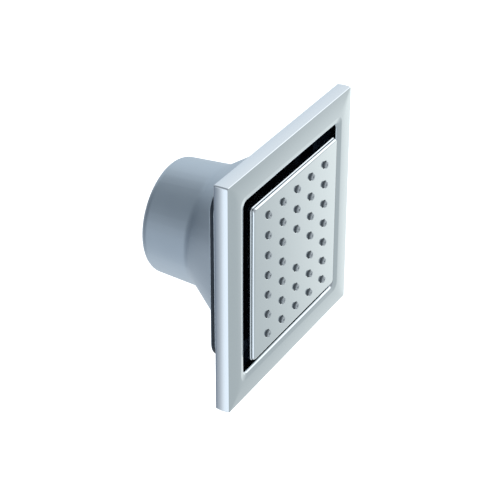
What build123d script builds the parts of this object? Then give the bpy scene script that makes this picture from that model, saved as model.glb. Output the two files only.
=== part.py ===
from build123d import *
import os
from math import radians, sin, sqrt

os.makedirs("parts", exist_ok=True)

# Square body jet for a shower wall, in millimetres.
# The origin is the centre of the plate on the face of the wall. +Z is up, +X is to the right
# seen from the room, and +Y goes into the wall, so the water leaves towards -Y.

# Trim plate: a hollow chrome frame on the wall
plate_width = 110.8
plate_depth = 6.6
plate_corner = 0.8
plate_edge = 0.6
plate_skin = 1.8
plate_rise = 0.6
ridge_width = 92.0
opening_width = 86.2
opening_corner = 3.2
opening_edge = 2.3
return_wall = 1.6
return_depth = 3.3

# Spray head: a chrome cap, a silicone mat with the nozzle tips, and a black back
face_width = 74.8
face_corner = 1.4
face_edge = 1.3
face_proud = 2.4
face_skin = 1.5
face_wall_depth = 3.1
face_lip = 0.4
face_lip_thick = 1.2
face_lip_edge = 0.3
nozzle_columns = 5
nozzle_rows = 7
nozzle_pitch_x = 12.9
nozzle_pitch_z = 9.9
nozzle_hole = 2.2
tip_base = 1.8
tip_end = 1.2
tip_proud = 1.4
jet_radius = 0.5
head_screw_pitch_x = 38.7
head_screw_pitch_z = 49.5
chamber_depth = 3.6
back_depth = 6.0
back_inset = 0.5
back_taper = 5.9
back_front_corner = 5.0
back_end_corner = 8.0

# Housing: square flange and mouth, rounded square box, a flare that turns round, and a tapered hub
hub_back = 55.7
hub_front = 30.0
hub_radius_back = 26.9
hub_radius_front = 28.6
hub_back_edge = 4.4
hub_blend = 8.0
flare_width = 79.0
flare_corner = 30.0
box_width = 83.0
box_corner = 9.0
box_inner_corner = 4.0
box_back = 10.9
box_end_wall = 1.2
mouth_width = 91.2
mouth_corner = 10.0
mouth_back = 4.6
mouth_wall = 1.4
housing_wall = 2.0
flange_width = 100.0
flange_corner = 5.0
flange_thick = 1.8
gasket_thick = 1.0
wall_screw_pitch = 93.0
wall_screw_hole = 2.25
seal_lip = 0.3
seal_width = 1.4
seal_depth = 1.0
seal_proud = 0.2

# Ball joint: its centre lies on the jet's axis
ball_y = 22.0
ball_radius = 11.0
ball_play = 0.08
swing = 6.0
neck_radius = 6.5
waterway = 4.5
spigot_radius = 7.9
pin_radius = 1.25
pin_play = 0.08

# Inlet: a half-inch female thread in a brass body
thread_radius = 9.3
thread_length = 14.0
shank_radius = 13.5
cup_radius = 16.0
cup_bore = 13.0
back_wall = 3.0
recess_radius = 20.0
recess_depth = 6.0
thread_play = 0.05
shank_play = 0.2

# Places that follow from the driving dimensions
plate_front = -plate_depth
ridge_front = plate_front - plate_rise
face_front = plate_front - face_proud
face_back = face_front + face_wall_depth
mat_front = face_front + face_skin
flange_back = -gasket_thick
flange_front = flange_back - flange_thick
mouth_floor = mouth_back - mouth_wall
back_end = face_back + back_depth
recess_floor = hub_back - recess_depth
wall_front = recess_floor - back_wall
thread_end = hub_back - thread_length


def across(y):
    """A plane across the jet's axis at depth y, facing into the wall."""
    return Plane(origin=(0, y, 0), x_dir=(1, 0, 0), z_dir=(0, 1, 0))


def nozzle_places():
    """Centres of the nozzles: a grid with the middle one left out."""
    grid = GridLocations(nozzle_pitch_x, nozzle_pitch_z, nozzle_columns, nozzle_rows)
    return [place for place in grid.local_locations if place.position.length > 1]


def level_edges(part, y):
    """The edges of a part that lie flat at depth y."""
    return part.edges().filter_by_position(Axis.Y, y - 0.001, y + 0.001).filter_by(
        lambda edge: edge.bounding_box().size.Y < 0.001
    )


# Trim plate: a shallow hollow frame. Its front rises from the rim to a ridge, where it rolls over into
# a short return wall round the opening.
with BuildPart() as trim_plate:
    with BuildSketch(across(plate_front)):
        RectangleRounded(plate_width, plate_width, plate_corner)
    extrude(amount=plate_depth)
    with BuildSketch(across(plate_front)):
        RectangleRounded(plate_width, plate_width, plate_corner)
    with BuildSketch(across(ridge_front)):
        RectangleRounded(ridge_width, ridge_width, opening_corner)
    loft()
    fillet(level_edges(trim_plate, plate_front), plate_edge)
    with BuildSketch(across(plate_front + plate_skin)):
        Rectangle(plate_width - 2 * plate_skin, plate_width - 2 * plate_skin)
    extrude(amount=plate_depth, mode=Mode.SUBTRACT)
    with BuildSketch(across(plate_front + plate_skin)):
        RectangleRounded(
            opening_width + 2 * return_wall, opening_width + 2 * return_wall, opening_corner + return_wall
        )
    extrude(amount=return_depth - plate_skin)
    with BuildSketch(across(ridge_front)):
        RectangleRounded(opening_width, opening_width, opening_corner)
    extrude(amount=plate_depth + plate_rise, mode=Mode.SUBTRACT)
    fillet(trim_plate.faces().sort_by(Axis.Y)[0].inner_wires()[0].edges(), opening_edge)
trim_plate.part.label = "trim_plate"
export_step(trim_plate.part, "parts/trim_plate.step")

# Trim clips: one leaf spring on the middle of each side, bent out to press on the plate's inner wall
clip_length = 14.0
clip_thick = 0.5
clip_play = 0.4
clip_gap = 0.6
clip_foot = opening_width / 2 + return_wall + clip_gap
rivet_inset = 2.0
clip_rivet = clip_foot + rivet_inset
clip_bend = flange_width / 2 + clip_gap
clip_crest = plate_width / 2 - plate_skin - clip_thick / 2 - clip_play
clip_tail = clip_bend + clip_gap
clip_face = flange_front - clip_thick / 2
clip_low = -0.6
rivet_radius = 1.0
rivet_head = 1.7
rivet_head_thick = 0.6
with BuildPart() as clip:
    with BuildSketch(Plane.XY):
        with BuildLine() as clip_line:
            Polyline(
                (clip_foot, clip_face),
                (clip_bend, clip_face),
                (clip_crest, (clip_face + clip_low) / 2),
                (clip_tail, clip_low),
            )
        trace(clip_line.edges(), line_width=clip_thick)
    extrude(amount=clip_length / 2, both=True)
    with Locations(across(clip_face) * Pos(clip_rivet, 0, 0)):
        Hole(radius=rivet_radius)
with BuildPart() as trim_clips:
    with Locations([Rotation(0, turn, 0) for turn in (0, 90, 180, 270)]):
        add(clip.part)
trim_clips.part.label = "trim_clips"
export_step(trim_clips.part, "parts/trim_clips.step")

# Clip rivets: headed on the clip, through it and the flange
with BuildPart() as rivet:
    with BuildSketch(across(flange_front - clip_thick)):
        with Locations((clip_rivet, 0)):
            Circle(rivet_head)
    extrude(amount=-rivet_head_thick)
    fillet(rivet.faces().sort_by(Axis.Y)[0].edges(), rivet_head_thick / 2)
    with BuildSketch(across(flange_front - clip_thick)):
        with Locations((clip_rivet, 0)):
            Circle(rivet_radius)
    extrude(amount=clip_thick + flange_thick)
with BuildPart() as clip_rivets:
    with Locations([Rotation(0, turn, 0) for turn in (0, 90, 180, 270)]):
        add(rivet.part)
clip_rivets.part.label = "clip_rivets"
export_step(clip_rivets.part, "parts/clip_rivets.step")

# Wall gasket: cut from foam sheet, under the flange
gasket_play = 0.4
gasket_opening = mouth_width + 2 * gasket_play
with BuildPart() as wall_gasket:
    with BuildSketch(across(flange_back)):
        RectangleRounded(flange_width, flange_width, flange_corner)
        RectangleRounded(gasket_opening, gasket_opening, mouth_corner, mode=Mode.SUBTRACT)
        with GridLocations(wall_screw_pitch, wall_screw_pitch, 2, 2):
            Circle(wall_screw_hole, mode=Mode.SUBTRACT)
    extrude(amount=gasket_thick)
wall_gasket.part.label = "wall_gasket"
export_step(wall_gasket.part, "parts/wall_gasket.step")

# Housing: one casting. The flare is lofted from the soft square at the box to the round hub.
mouth_inner = mouth_width - 2 * mouth_wall
box_inner = box_width - 2 * (housing_wall + seal_depth)
seal_back = box_back - seal_lip
seal_root = box_width - 2 * seal_depth
seal_outer = box_width + 2 * seal_proud
box_floor = box_back - box_end_wall
flare_inner = flare_width - 2 * housing_wall
hub_inner_slope = (hub_radius_front - hub_radius_back) / (hub_back - hub_front)
hub_inner_back = hub_radius_front - housing_wall - hub_inner_slope * (wall_front - hub_front)
with BuildPart() as housing:
    with BuildSketch(across(box_back)):
        RectangleRounded(flare_width, flare_width, flare_corner)
    with BuildSketch(across(hub_front)):
        Circle(hub_radius_front)
    loft()
    with BuildSketch(across(hub_front)):
        Circle(hub_radius_front)
    with BuildSketch(across(hub_back)):
        Circle(hub_radius_back)
    loft()
    fillet(level_edges(housing, hub_back), hub_back_edge)
    fillet(level_edges(housing, hub_front), hub_blend)
    with BuildSketch(across(mouth_back)):
        RectangleRounded(box_width, box_width, box_corner)
    extrude(amount=box_back - mouth_back)
    with BuildSketch(across(seal_back)):
        RectangleRounded(seal_outer, seal_outer, box_corner + seal_proud)
        RectangleRounded(seal_root, seal_root, box_corner - seal_depth, mode=Mode.SUBTRACT)
    extrude(amount=-seal_width, mode=Mode.SUBTRACT)
    with BuildSketch(across(flange_back)):
        RectangleRounded(mouth_width, mouth_width, mouth_corner)
    extrude(amount=mouth_back - flange_back)
    with BuildSketch(across(flange_front)):
        RectangleRounded(flange_width, flange_width, flange_corner)
    extrude(amount=flange_thick)
    # The hollow, from the mouth down to the back wall
    with BuildSketch(across(flange_front)):
        RectangleRounded(mouth_inner, mouth_inner, mouth_corner - mouth_wall)
    extrude(amount=mouth_floor - flange_front, mode=Mode.SUBTRACT)
    with BuildSketch(across(mouth_floor)):
        RectangleRounded(box_inner, box_inner, box_inner_corner)
    extrude(amount=box_floor - mouth_floor, mode=Mode.SUBTRACT)
    with BuildSketch(across(box_floor)):
        RectangleRounded(flare_inner, flare_inner, flare_corner - housing_wall)
    with BuildSketch(across(hub_front)):
        Circle(hub_radius_front - housing_wall)
    loft(mode=Mode.SUBTRACT)
    with BuildSketch(across(hub_front)):
        Circle(hub_radius_front - housing_wall)
    with BuildSketch(across(wall_front)):
        Circle(hub_inner_back)
    loft(mode=Mode.SUBTRACT)
    # The inlet's hole, the recess for its nut, and the holes in the flange
    with BuildSketch(across(recess_floor)):
        Circle(recess_radius)
    extrude(amount=recess_depth, mode=Mode.SUBTRACT)
    with BuildSketch(across(wall_front)):
        Circle(shank_radius + shank_play)
    extrude(amount=back_wall, mode=Mode.SUBTRACT)
    with BuildSketch(across(flange_front)):
        with GridLocations(wall_screw_pitch, wall_screw_pitch, 2, 2):
            Circle(wall_screw_hole)
        with PolarLocations(clip_rivet, 4):
            Circle(rivet_radius)
    extrude(amount=flange_thick, mode=Mode.SUBTRACT)
housing.part.label = "housing"
export_step(housing.part, "parts/housing.step")

# Box seal: black rubber ring in the groove round the box, where it meets the hole in the wall
with BuildPart() as box_seal:
    with BuildSketch(across(seal_back)):
        RectangleRounded(seal_outer, seal_outer, box_corner + seal_proud)
        RectangleRounded(seal_root, seal_root, box_corner - seal_depth, mode=Mode.SUBTRACT)
    extrude(amount=-seal_width)
box_seal.part.label = "box_seal"
export_step(box_seal.part, "parts/box_seal.step")

# Face plate: chrome cap with a hole for each nozzle, a narrow lip round its back edge and four bosses
# inside for the screws
lip_width = face_width + 2 * face_lip
boss_radius = 2.6
pilot_radius = 1.2
pilot_depth = 2.3
with BuildPart() as face_plate:
    with BuildSketch(across(face_front)):
        RectangleRounded(face_width, face_width, face_corner)
    extrude(amount=face_wall_depth)
    fillet(face_plate.faces().sort_by(Axis.Y)[0].edges(), face_edge)
    with BuildSketch(across(face_back)):
        RectangleRounded(lip_width, lip_width, face_corner + face_lip)
    extrude(amount=-face_lip_thick)
    fillet(face_plate.faces().filter_by(Axis.Y).sort_by(Axis.Y)[1].outer_wire().edges(), face_lip_edge)
    with BuildSketch(across(mat_front)):
        Rectangle(face_width - 2 * face_skin, face_width - 2 * face_skin)
        with GridLocations(head_screw_pitch_x, head_screw_pitch_z, 2, 2):
            Circle(boss_radius, mode=Mode.SUBTRACT)
    extrude(amount=face_back - mat_front, mode=Mode.SUBTRACT)
    with BuildSketch(across(face_back)):
        with GridLocations(head_screw_pitch_x, head_screw_pitch_z, 2, 2):
            Circle(pilot_radius)
    extrude(amount=-pilot_depth, mode=Mode.SUBTRACT)
    with BuildSketch(across(face_front)):
        with Locations(nozzle_places()):
            Circle(nozzle_hole)
    extrude(amount=face_skin, mode=Mode.SUBTRACT)
face_plate.part.label = "face_plate"
export_step(face_plate.part, "parts/face_plate.step")

# Nozzle mat: moulded in one piece of silicone, a tapered tip through each hole, with its jet
mat_play = 0.2
mat_width = face_width - 2 * face_skin - 2 * mat_play
tip_front = face_front - tip_proud
with BuildPart() as nozzle_mat:
    with BuildSketch(across(mat_front)):
        Rectangle(mat_width, mat_width)
        with GridLocations(head_screw_pitch_x, head_screw_pitch_z, 2, 2):
            Circle(boss_radius + mat_play, mode=Mode.SUBTRACT)
    extrude(amount=face_back - mat_front)
    tip_height = mat_front - tip_front
    with Locations([across((mat_front + tip_front) / 2) * place for place in nozzle_places()]):
        Cone(tip_end, tip_base, tip_height)
    with BuildSketch(across(tip_front)):
        with Locations(nozzle_places()):
            Circle(jet_radius)
    extrude(amount=face_back - tip_front, mode=Mode.SUBTRACT)
nozzle_mat.part.label = "nozzle_mat"
export_step(nozzle_mat.part, "parts/nozzle_mat.step")

# Chamber back: black moulding behind the mat, with tapered sides, a shallow water chamber,
# pads between the nozzles for the screws, and a threaded boss for the ball's spigot
chamber_width = 66.0
pad_radius = 5.0
screw_clear = 1.7
screw_head = 2.7
screw_head_play = 0.3
screw_head_thick = 1.8
screw_grip = 3.0
screw_seat = face_back + screw_grip
boss_root = 18.0
boss_end_radius = 12.5
boss_taper = 3.6
boss_taper_end = back_end + boss_taper
boss_end = 7.5
back_width = face_width - 2 * back_inset
back_end_width = back_width - 2 * back_taper
with BuildPart() as chamber_back:
    with BuildSketch(across(face_back)):
        RectangleRounded(back_width, back_width, back_front_corner)
    with BuildSketch(across(back_end)):
        RectangleRounded(back_end_width, back_end_width, back_end_corner)
    loft()
    with BuildSketch(Plane.XY):
        with BuildLine():
            Polyline(
                (0, face_back + chamber_depth),
                (boss_root, face_back + chamber_depth),
                (boss_root, back_end),
                (boss_end_radius, boss_taper_end),
                (boss_end_radius, boss_end),
                (0, boss_end),
                close=True,
            )
        make_face()
    revolve(axis=Axis.Y)
    with BuildSketch(across(face_back)):
        RectangleRounded(chamber_width, chamber_width, 2 * face_corner)
        with GridLocations(head_screw_pitch_x, head_screw_pitch_z, 2, 2):
            Circle(pad_radius, mode=Mode.SUBTRACT)
    extrude(amount=chamber_depth, mode=Mode.SUBTRACT)
    with BuildSketch(across(face_back)):
        with GridLocations(head_screw_pitch_x, head_screw_pitch_z, 2, 2):
            Circle(screw_clear)
        Circle(spigot_radius + thread_play)
    extrude(amount=boss_end - face_back, mode=Mode.SUBTRACT)
    with BuildSketch(across(screw_seat)):
        with GridLocations(head_screw_pitch_x, head_screw_pitch_z, 2, 2):
            Circle(screw_head + screw_head_play)
    extrude(amount=back_end - screw_seat, mode=Mode.SUBTRACT)
chamber_back.part.label = "chamber_back"
export_step(chamber_back.part, "parts/chamber_back.step")

# Chamber screws: pan heads seated in the back, threaded into the bosses of the face plate
with BuildPart() as chamber_screws:
    with BuildSketch(across(screw_seat)):
        with GridLocations(head_screw_pitch_x, head_screw_pitch_z, 2, 2):
            Circle(screw_head)
    extrude(amount=screw_head_thick)
    fillet(chamber_screws.faces().group_by(Axis.Y)[-1].edges(), screw_head_thick / 3)
    with BuildSketch(across(screw_seat)):
        with GridLocations(head_screw_pitch_x, head_screw_pitch_z, 2, 2):
            Circle(pilot_radius)
    extrude(amount=face_back - pilot_depth - screw_seat)
chamber_screws.part.label = "chamber_screws"
export_step(chamber_screws.part, "parts/chamber_screws.step")

# Swivel ball: hollow brass ball and neck, a hexagon to tighten it, and the spigot into the head
washer_thick = 1.0
hex_across = 19.0
hex_front = boss_end + washer_thick
hex_thick = 2.5
hex_back = hex_front + hex_thick
spigot_reach = 2.0
spigot_front = back_end - spigot_reach
restrictor_radius = 6.2
restrictor_depth = 3.0
restrictor_seat = spigot_front + restrictor_depth
pin_inner = 8.0
pin_end_play = 0.5
with BuildPart() as swivel_ball:
    with Locations((0, ball_y, 0)):
        Sphere(ball_radius)
    with BuildSketch(across(hex_front)):
        Circle(neck_radius)
    extrude(amount=ball_y - hex_front)
    with BuildSketch(across(hex_front)):
        RegularPolygon(hex_across / 2, 6, major_radius=False)
    extrude(amount=hex_back - hex_front)
    with BuildSketch(across(spigot_front)):
        Circle(spigot_radius)
    extrude(amount=hex_front - spigot_front)
    with BuildSketch(across(spigot_front)):
        Circle(waterway)
    extrude(amount=ball_y + ball_radius - spigot_front, mode=Mode.SUBTRACT)
    with BuildSketch(across(spigot_front)):
        Circle(restrictor_radius)
    extrude(amount=restrictor_seat - spigot_front, mode=Mode.SUBTRACT)
    with BuildSketch(Plane.YZ.offset(pin_inner - pin_end_play)):
        with Locations((ball_y, 0)):
            Circle(pin_radius + pin_play)
    extrude(amount=ball_radius, mode=Mode.SUBTRACT)
    with BuildSketch(Plane.YZ.offset(pin_end_play - pin_inner)):
        with Locations((ball_y, 0)):
            Circle(pin_radius + pin_play)
    extrude(amount=-ball_radius, mode=Mode.SUBTRACT)
swivel_ball.part.label = "swivel_ball"
export_step(swivel_ball.part, "parts/swivel_ball.step")

# Stem washer: rubber, between the hexagon and the boss
washer_radius = 11.0
with BuildPart() as stem_washer:
    with BuildSketch(across(boss_end)):
        Circle(washer_radius)
        Circle(spigot_radius + thread_play, mode=Mode.SUBTRACT)
    extrude(amount=washer_thick)
stem_washer.part.label = "stem_washer"
export_step(stem_washer.part, "parts/stem_washer.step")

# Flow restrictor: plastic disc with a ring of small holes, dropped into the spigot's mouth
restrictor_hole = 0.9
restrictor_ring = 3.1
restrictor_thick = 2.2
with BuildPart() as flow_restrictor:
    with BuildSketch(across(restrictor_seat)):
        Circle(restrictor_radius - thread_play)
        Circle(restrictor_hole, mode=Mode.SUBTRACT)
        with PolarLocations(restrictor_ring, 6):
            Circle(restrictor_hole, mode=Mode.SUBTRACT)
    extrude(amount=-restrictor_thick)
flow_restrictor.part.label = "flow_restrictor"
export_step(flow_restrictor.part, "parts/flow_restrictor.step")

# Guide pins: on the left and right of the ball, in slots of the cup, so that the face can swing and
# tilt but not roll out of square
pin_outer = cup_radius - pin_end_play
with BuildPart() as guide_pins:
    with BuildSketch(Plane.YZ.offset(pin_inner)):
        with Locations((ball_y, 0)):
            Circle(pin_radius)
    extrude(amount=pin_outer - pin_inner)
    with BuildSketch(Plane.YZ.offset(-pin_inner)):
        with Locations((ball_y, 0)):
            Circle(pin_radius)
    extrude(amount=pin_inner - pin_outer)
guide_pins.part.label = "guide_pins"
export_step(guide_pins.part, "parts/guide_pins.step")

# Inlet body: turned brass. In front a cup for the seat and the ball, then the waterway and the inlet
# thread, with a flange inside the housing's back wall and a threaded shank through it.
rim_lead = 3.0
rim_front = ball_y - rim_lead
seat_back = ball_y + ball_radius
spring_height = 2.2
spring_back = seat_back + spring_height
waterway_in = 6.0
screen_radius = 8.2
screen_rim = 2.0
inlet_flange_radius = 18.5
inlet_flange_thick = 3.5
o_ring_path = 16.2
o_ring_radius = 0.8
groove_width = 2.2
pin_travel = pin_outer * sin(radians(swing)) + pin_radius + pin_end_play
with BuildPart() as inlet_body:
    with BuildSketch(Plane.XY):
        with BuildLine():
            Polyline(
                (cup_bore, rim_front),
                (cup_radius, rim_front),
                (cup_radius, wall_front - inlet_flange_thick),
                (inlet_flange_radius, wall_front - inlet_flange_thick),
                (inlet_flange_radius, wall_front),
                (shank_radius, wall_front),
                (shank_radius, hub_back),
                (thread_radius, hub_back),
                (thread_radius, thread_end),
                (screen_radius, thread_end),
                (screen_radius, thread_end - screen_rim),
                (waterway_in, thread_end - screen_rim),
                (waterway_in, spring_back),
                (cup_bore, spring_back),
                close=True,
            )
        make_face()
        with Locations((o_ring_path, wall_front)):
            Rectangle(groove_width, 4 * o_ring_radius, mode=Mode.SUBTRACT)
    revolve(axis=Axis.Y)
    with BuildSketch(across(rim_front)):
        Rectangle(2 * inlet_flange_radius, 2 * (pin_radius + pin_play))
    extrude(amount=ball_y + pin_travel - rim_front, mode=Mode.SUBTRACT)
inlet_body.part.label = "inlet_body"
export_step(inlet_body.part, "parts/inlet_body.step")

# Inlet O-ring: under the flange of the inlet, against the housing's back wall
with BuildPart() as inlet_o_ring:
    with BuildSketch(Plane.XY):
        with Locations((o_ring_path, wall_front - o_ring_radius)):
            Circle(o_ring_radius)
    revolve(axis=Axis.Y)
inlet_o_ring.part.label = "inlet_o_ring"
export_step(inlet_o_ring.part, "parts/inlet_o_ring.step")

# Nut washer and lock nut: in the recess of the hub, on the inlet's shank
nut_washer_radius = 19.0
nut_across = 33.0
nut_chamfer = 0.6
nut_thick = 4.4
nut_front = recess_floor + washer_thick
with BuildPart() as nut_washer:
    with BuildSketch(across(recess_floor)):
        Circle(nut_washer_radius)
        Circle(shank_radius + shank_play, mode=Mode.SUBTRACT)
    extrude(amount=washer_thick)
nut_washer.part.label = "nut_washer"
export_step(nut_washer.part, "parts/nut_washer.step")

with BuildPart() as inlet_lock_nut:
    with BuildSketch(across(nut_front)):
        RegularPolygon(nut_across / 2, 6, major_radius=False)
        Circle(shank_radius + thread_play, mode=Mode.SUBTRACT)
    extrude(amount=nut_thick)
    chamfer(inlet_lock_nut.faces().sort_by(Axis.Y)[-1].inner_wires()[0].edges(), nut_chamfer)
inlet_lock_nut.part.label = "inlet_lock_nut"
export_step(inlet_lock_nut.part, "parts/inlet_lock_nut.step")

# Filter screen: a drawn cup with holes in its end, its rim in the step at the bottom of the thread
screen_wall = 0.6
screen_depth = 4.0
screen_play = 0.1
screen_cup = waterway_in - 3 * screen_play
screen_hole = 0.8
screen_ring = 3.3
with BuildPart() as filter_screen:
    with BuildSketch(across(thread_end)):
        Circle(screen_radius - screen_play)
        Circle(screen_cup - screen_wall, mode=Mode.SUBTRACT)
    extrude(amount=-screen_rim)
    with BuildSketch(across(thread_end)):
        Circle(screen_cup)
    extrude(amount=-screen_depth)
    with BuildSketch(across(thread_end)):
        Circle(screen_cup - screen_wall)
    extrude(amount=screen_wall - screen_depth, mode=Mode.SUBTRACT)
    with BuildSketch(across(thread_end - screen_depth)):
        Circle(screen_hole)
        with PolarLocations(screen_ring, 8):
            Circle(screen_hole)
    extrude(amount=screen_wall, mode=Mode.SUBTRACT)
filter_screen.part.label = "filter_screen"
export_step(filter_screen.part, "parts/filter_screen.step")

# Ball seat: low-friction plastic ring behind the ball, with a groove for its O-ring
seat_lead = 3.5
seat_front = ball_y + seat_lead
seat_bore = 6.5
seat_radius = ball_radius + ball_play
seal_radius = 0.9
seal_play = 0.03
seal_slant = 45.0
seal_path = (seat_radius - seal_play + seal_radius) * sqrt(0.5)
groove_path = seal_path - seal_radius / 2 * sqrt(0.5)
with BuildPart() as ball_seat:
    with BuildSketch(across(seat_front)):
        Circle(cup_bore - thread_play)
        Circle(seat_bore, mode=Mode.SUBTRACT)
    extrude(amount=seat_back - seat_front)
    with Locations((0, ball_y, 0)):
        Sphere(seat_radius, mode=Mode.SUBTRACT)
    with BuildSketch(Plane.XY):
        with Locations((groove_path, ball_y + groove_path)):
            Rectangle(3 * seal_radius, 2 * seal_radius, rotation=seal_slant)
    revolve(axis=Axis.Y, mode=Mode.SUBTRACT)
ball_seat.part.label = "ball_seat"
export_step(ball_seat.part, "parts/ball_seat.step")

# Ball seal: the O-ring in the seat, just proud of it towards the ball
with BuildPart() as ball_seal:
    with BuildSketch(Plane.XY):
        with Locations((seal_path, ball_y + seal_path)):
            Circle(seal_radius)
    revolve(axis=Axis.Y)
ball_seal.part.label = "ball_seal"
export_step(ball_seal.part, "parts/ball_seal.step")

# Seat spring: conical spring washer between the seat and the floor of the cup
spring_thick = 0.8
spring_bore = 8.0
spring_radius = cup_bore - screw_head_play
with BuildPart() as seat_spring:
    with BuildSketch(Plane.XY):
        with BuildLine():
            Polyline(
                (spring_bore, seat_back),
                (spring_radius, spring_back - spring_thick),
                (spring_radius, spring_back),
                (spring_bore, seat_back + spring_thick),
                close=True,
            )
        make_face()
    revolve(axis=Axis.Y)
seat_spring.part.label = "seat_spring"
export_step(seat_spring.part, "parts/seat_spring.step")

# Ball nut: black plastic collar on the cup's thread, its lip holds the ball, with notches for a pin spanner
nut_radius = 19.5
nut_flare = 1.2
notch_radius = 1.8
rim_play = 0.3
lip_inner = rim_front - rim_play
lip_lead = 6.0
lip_neck = ball_y - lip_lead
nut_face_lead = 8.0
nut_face = ball_y - nut_face_lead
skirt_reach = 6.0
skirt_back = ball_y + skirt_reach
lip_bore = sqrt((ball_radius + ball_play) ** 2 - (ball_y - lip_neck) ** 2)
with BuildPart() as ball_nut:
    with BuildSketch(Plane.XY):
        with BuildLine():
            Polyline(
                (lip_bore, lip_neck),
                (lip_bore + nut_flare, nut_face),
                (nut_radius, nut_face),
                (nut_radius, skirt_back),
                (cup_radius + thread_play, skirt_back),
                (cup_radius + thread_play, lip_inner),
                (lip_bore, lip_inner),
                close=True,
            )
        make_face()
    revolve(axis=Axis.Y)
    with Locations((0, ball_y, 0)):
        Sphere(ball_radius + ball_play, mode=Mode.SUBTRACT)
    with BuildSketch(across(nut_face)):
        with PolarLocations(nut_radius, 6, start_angle=30):
            Circle(notch_radius)
    extrude(amount=skirt_back - nut_face, mode=Mode.SUBTRACT)
ball_nut.part.label = "ball_nut"
export_step(ball_nut.part, "parts/ball_nut.step")
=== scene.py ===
from math import cos, pi, radians, sin

import bmesh
import bpy
import numpy as np
from mathutils import Matrix, Vector


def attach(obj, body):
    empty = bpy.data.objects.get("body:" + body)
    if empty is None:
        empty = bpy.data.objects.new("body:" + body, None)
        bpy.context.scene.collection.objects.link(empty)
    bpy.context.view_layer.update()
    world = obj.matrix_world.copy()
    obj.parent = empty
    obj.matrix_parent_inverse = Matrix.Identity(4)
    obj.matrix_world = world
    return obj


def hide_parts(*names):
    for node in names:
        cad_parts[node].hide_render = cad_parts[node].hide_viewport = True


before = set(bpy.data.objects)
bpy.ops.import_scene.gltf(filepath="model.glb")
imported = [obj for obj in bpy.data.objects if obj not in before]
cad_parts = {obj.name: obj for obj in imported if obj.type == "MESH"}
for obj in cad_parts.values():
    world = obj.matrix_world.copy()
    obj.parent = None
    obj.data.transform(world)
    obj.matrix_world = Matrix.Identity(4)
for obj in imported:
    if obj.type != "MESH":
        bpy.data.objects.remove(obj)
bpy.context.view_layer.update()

# Housing: the bell that goes into the wall, cast in one piece and satin plated outside, and blue-black
# inside, a colour that also paints the shade deep in the housing.
# A square flange and mouth carry a rounded box, which flares into a round, slightly tapered hub.
mm = 0.001


def colour(code):
    """Linear colour of an sRGB hex value."""
    parts = [int(code[k:k + 2], 16) / 255 for k in (1, 3, 5)]
    return [v / 12.92 if v <= 0.04045 else ((v + 0.055) / 1.055) ** 2.4 for v in parts] + [1]


def add(tree, kind, settings=(), values=(), links=()):
    """Add a node with its settings, its fixed values and its links."""
    made = tree.nodes.new(kind)
    for key, value in dict(settings).items():
        setattr(made, key, value)
    for key, value in dict(values).items():
        made.inputs[key].default_value = value
    for key, socket in dict(links).items():
        tree.links.new(socket, made.inputs[key])
    return made


def new_material(name):
    """An empty material with its surface node, ready for its finish."""
    material = bpy.data.materials.new(name)
    material.use_nodes = True
    return material, material.node_tree, material.node_tree.nodes["Principled BSDF"]


# Satin plating: a metal blasted fine before it was plated, so highlights spread wide.
# The real grain is finer, and is drawn at 0.4 mm so that it shows.
satin, tree, surface = new_material("satin_plating")
place = add(tree, "ShaderNodeTexCoord").outputs["Object"]
grain = add(tree, "ShaderNodeTexNoise", values={"Scale": 1000 / 0.4, "Detail": 3}, links={"Vector": place})
cloud = add(tree, "ShaderNodeTexNoise", values={"Scale": 1000 / 18, "Detail": 2}, links={"Vector": place})
tint = add(
    tree, "ShaderNodeMix", {"data_type": "RGBA"},
    {"A": colour("#bac6d1"), "B": colour("#c6d1da")}, {"Factor": cloud.outputs["Fac"]},
)
rough = add(
    tree, "ShaderNodeMapRange",
    values={"From Min": 0.3, "From Max": 0.7, "To Min": 0.47, "To Max": 0.53},
    links={"Value": cloud.outputs["Fac"]},
)
bump = add(
    tree, "ShaderNodeBump",
    values={"Strength": 0.06, "Distance": 0.00003}, links={"Height": grain.outputs["Fac"]},
)
surface.inputs["Metallic"].default_value = 1
tree.links.new(tint.outputs["Result"], surface.inputs["Base Color"])
tree.links.new(rough.outputs["Result"], surface.inputs["Roughness"])
tree.links.new(bump.outputs["Normal"], surface.inputs["Normal"])

# Black coat: the unplated inside of the casting, a matt blue-black dip coat with a slightly uneven skin. Its
# dark colour is also painted shade, so the gap round the spray head stays dark.
shade_black_coat, tree, surface = new_material("black_dip_coat")
place = add(tree, "ShaderNodeTexCoord").outputs["Object"]
skin = add(tree, "ShaderNodeTexNoise", values={"Scale": 1000 / 1.5, "Detail": 3}, links={"Vector": place})
rough = add(
    tree, "ShaderNodeMapRange", values={"To Min": 0.62, "To Max": 0.8}, links={"Value": skin.outputs["Fac"]}
)
bump = add(
    tree, "ShaderNodeBump",
    values={"Strength": 0.1, "Distance": 0.0001}, links={"Height": skin.outputs["Fac"]},
)
surface.inputs["Base Color"].default_value = colour("#212f40")
surface.inputs["Specular IOR Level"].default_value = 0.25
tree.links.new(rough.outputs["Result"], surface.inputs["Roughness"])
tree.links.new(bump.outputs["Normal"], surface.inputs["Normal"])


def bearings(*squares):
    """Directions round the jet's axis, close together where the given squares turn their corners."""
    found = list(np.linspace(0, 90, 19))
    for half, corner in squares:
        core = half - corner
        for turn in np.radians(np.linspace(0, 90, 9)):
            found.append(np.degrees(np.arctan2(core + corner * sin(turn), core + corner * cos(turn))))
        hold = max(core - 0.4, 0)
        found.append(np.degrees(np.arctan2(hold, half)))
        found.append(np.degrees(np.arctan2(half, hold)))
    quarter = np.unique(np.round(found, 3))[:-1]
    return np.radians(np.concatenate([quarter + 90 * k for k in range(4)]))


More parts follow.
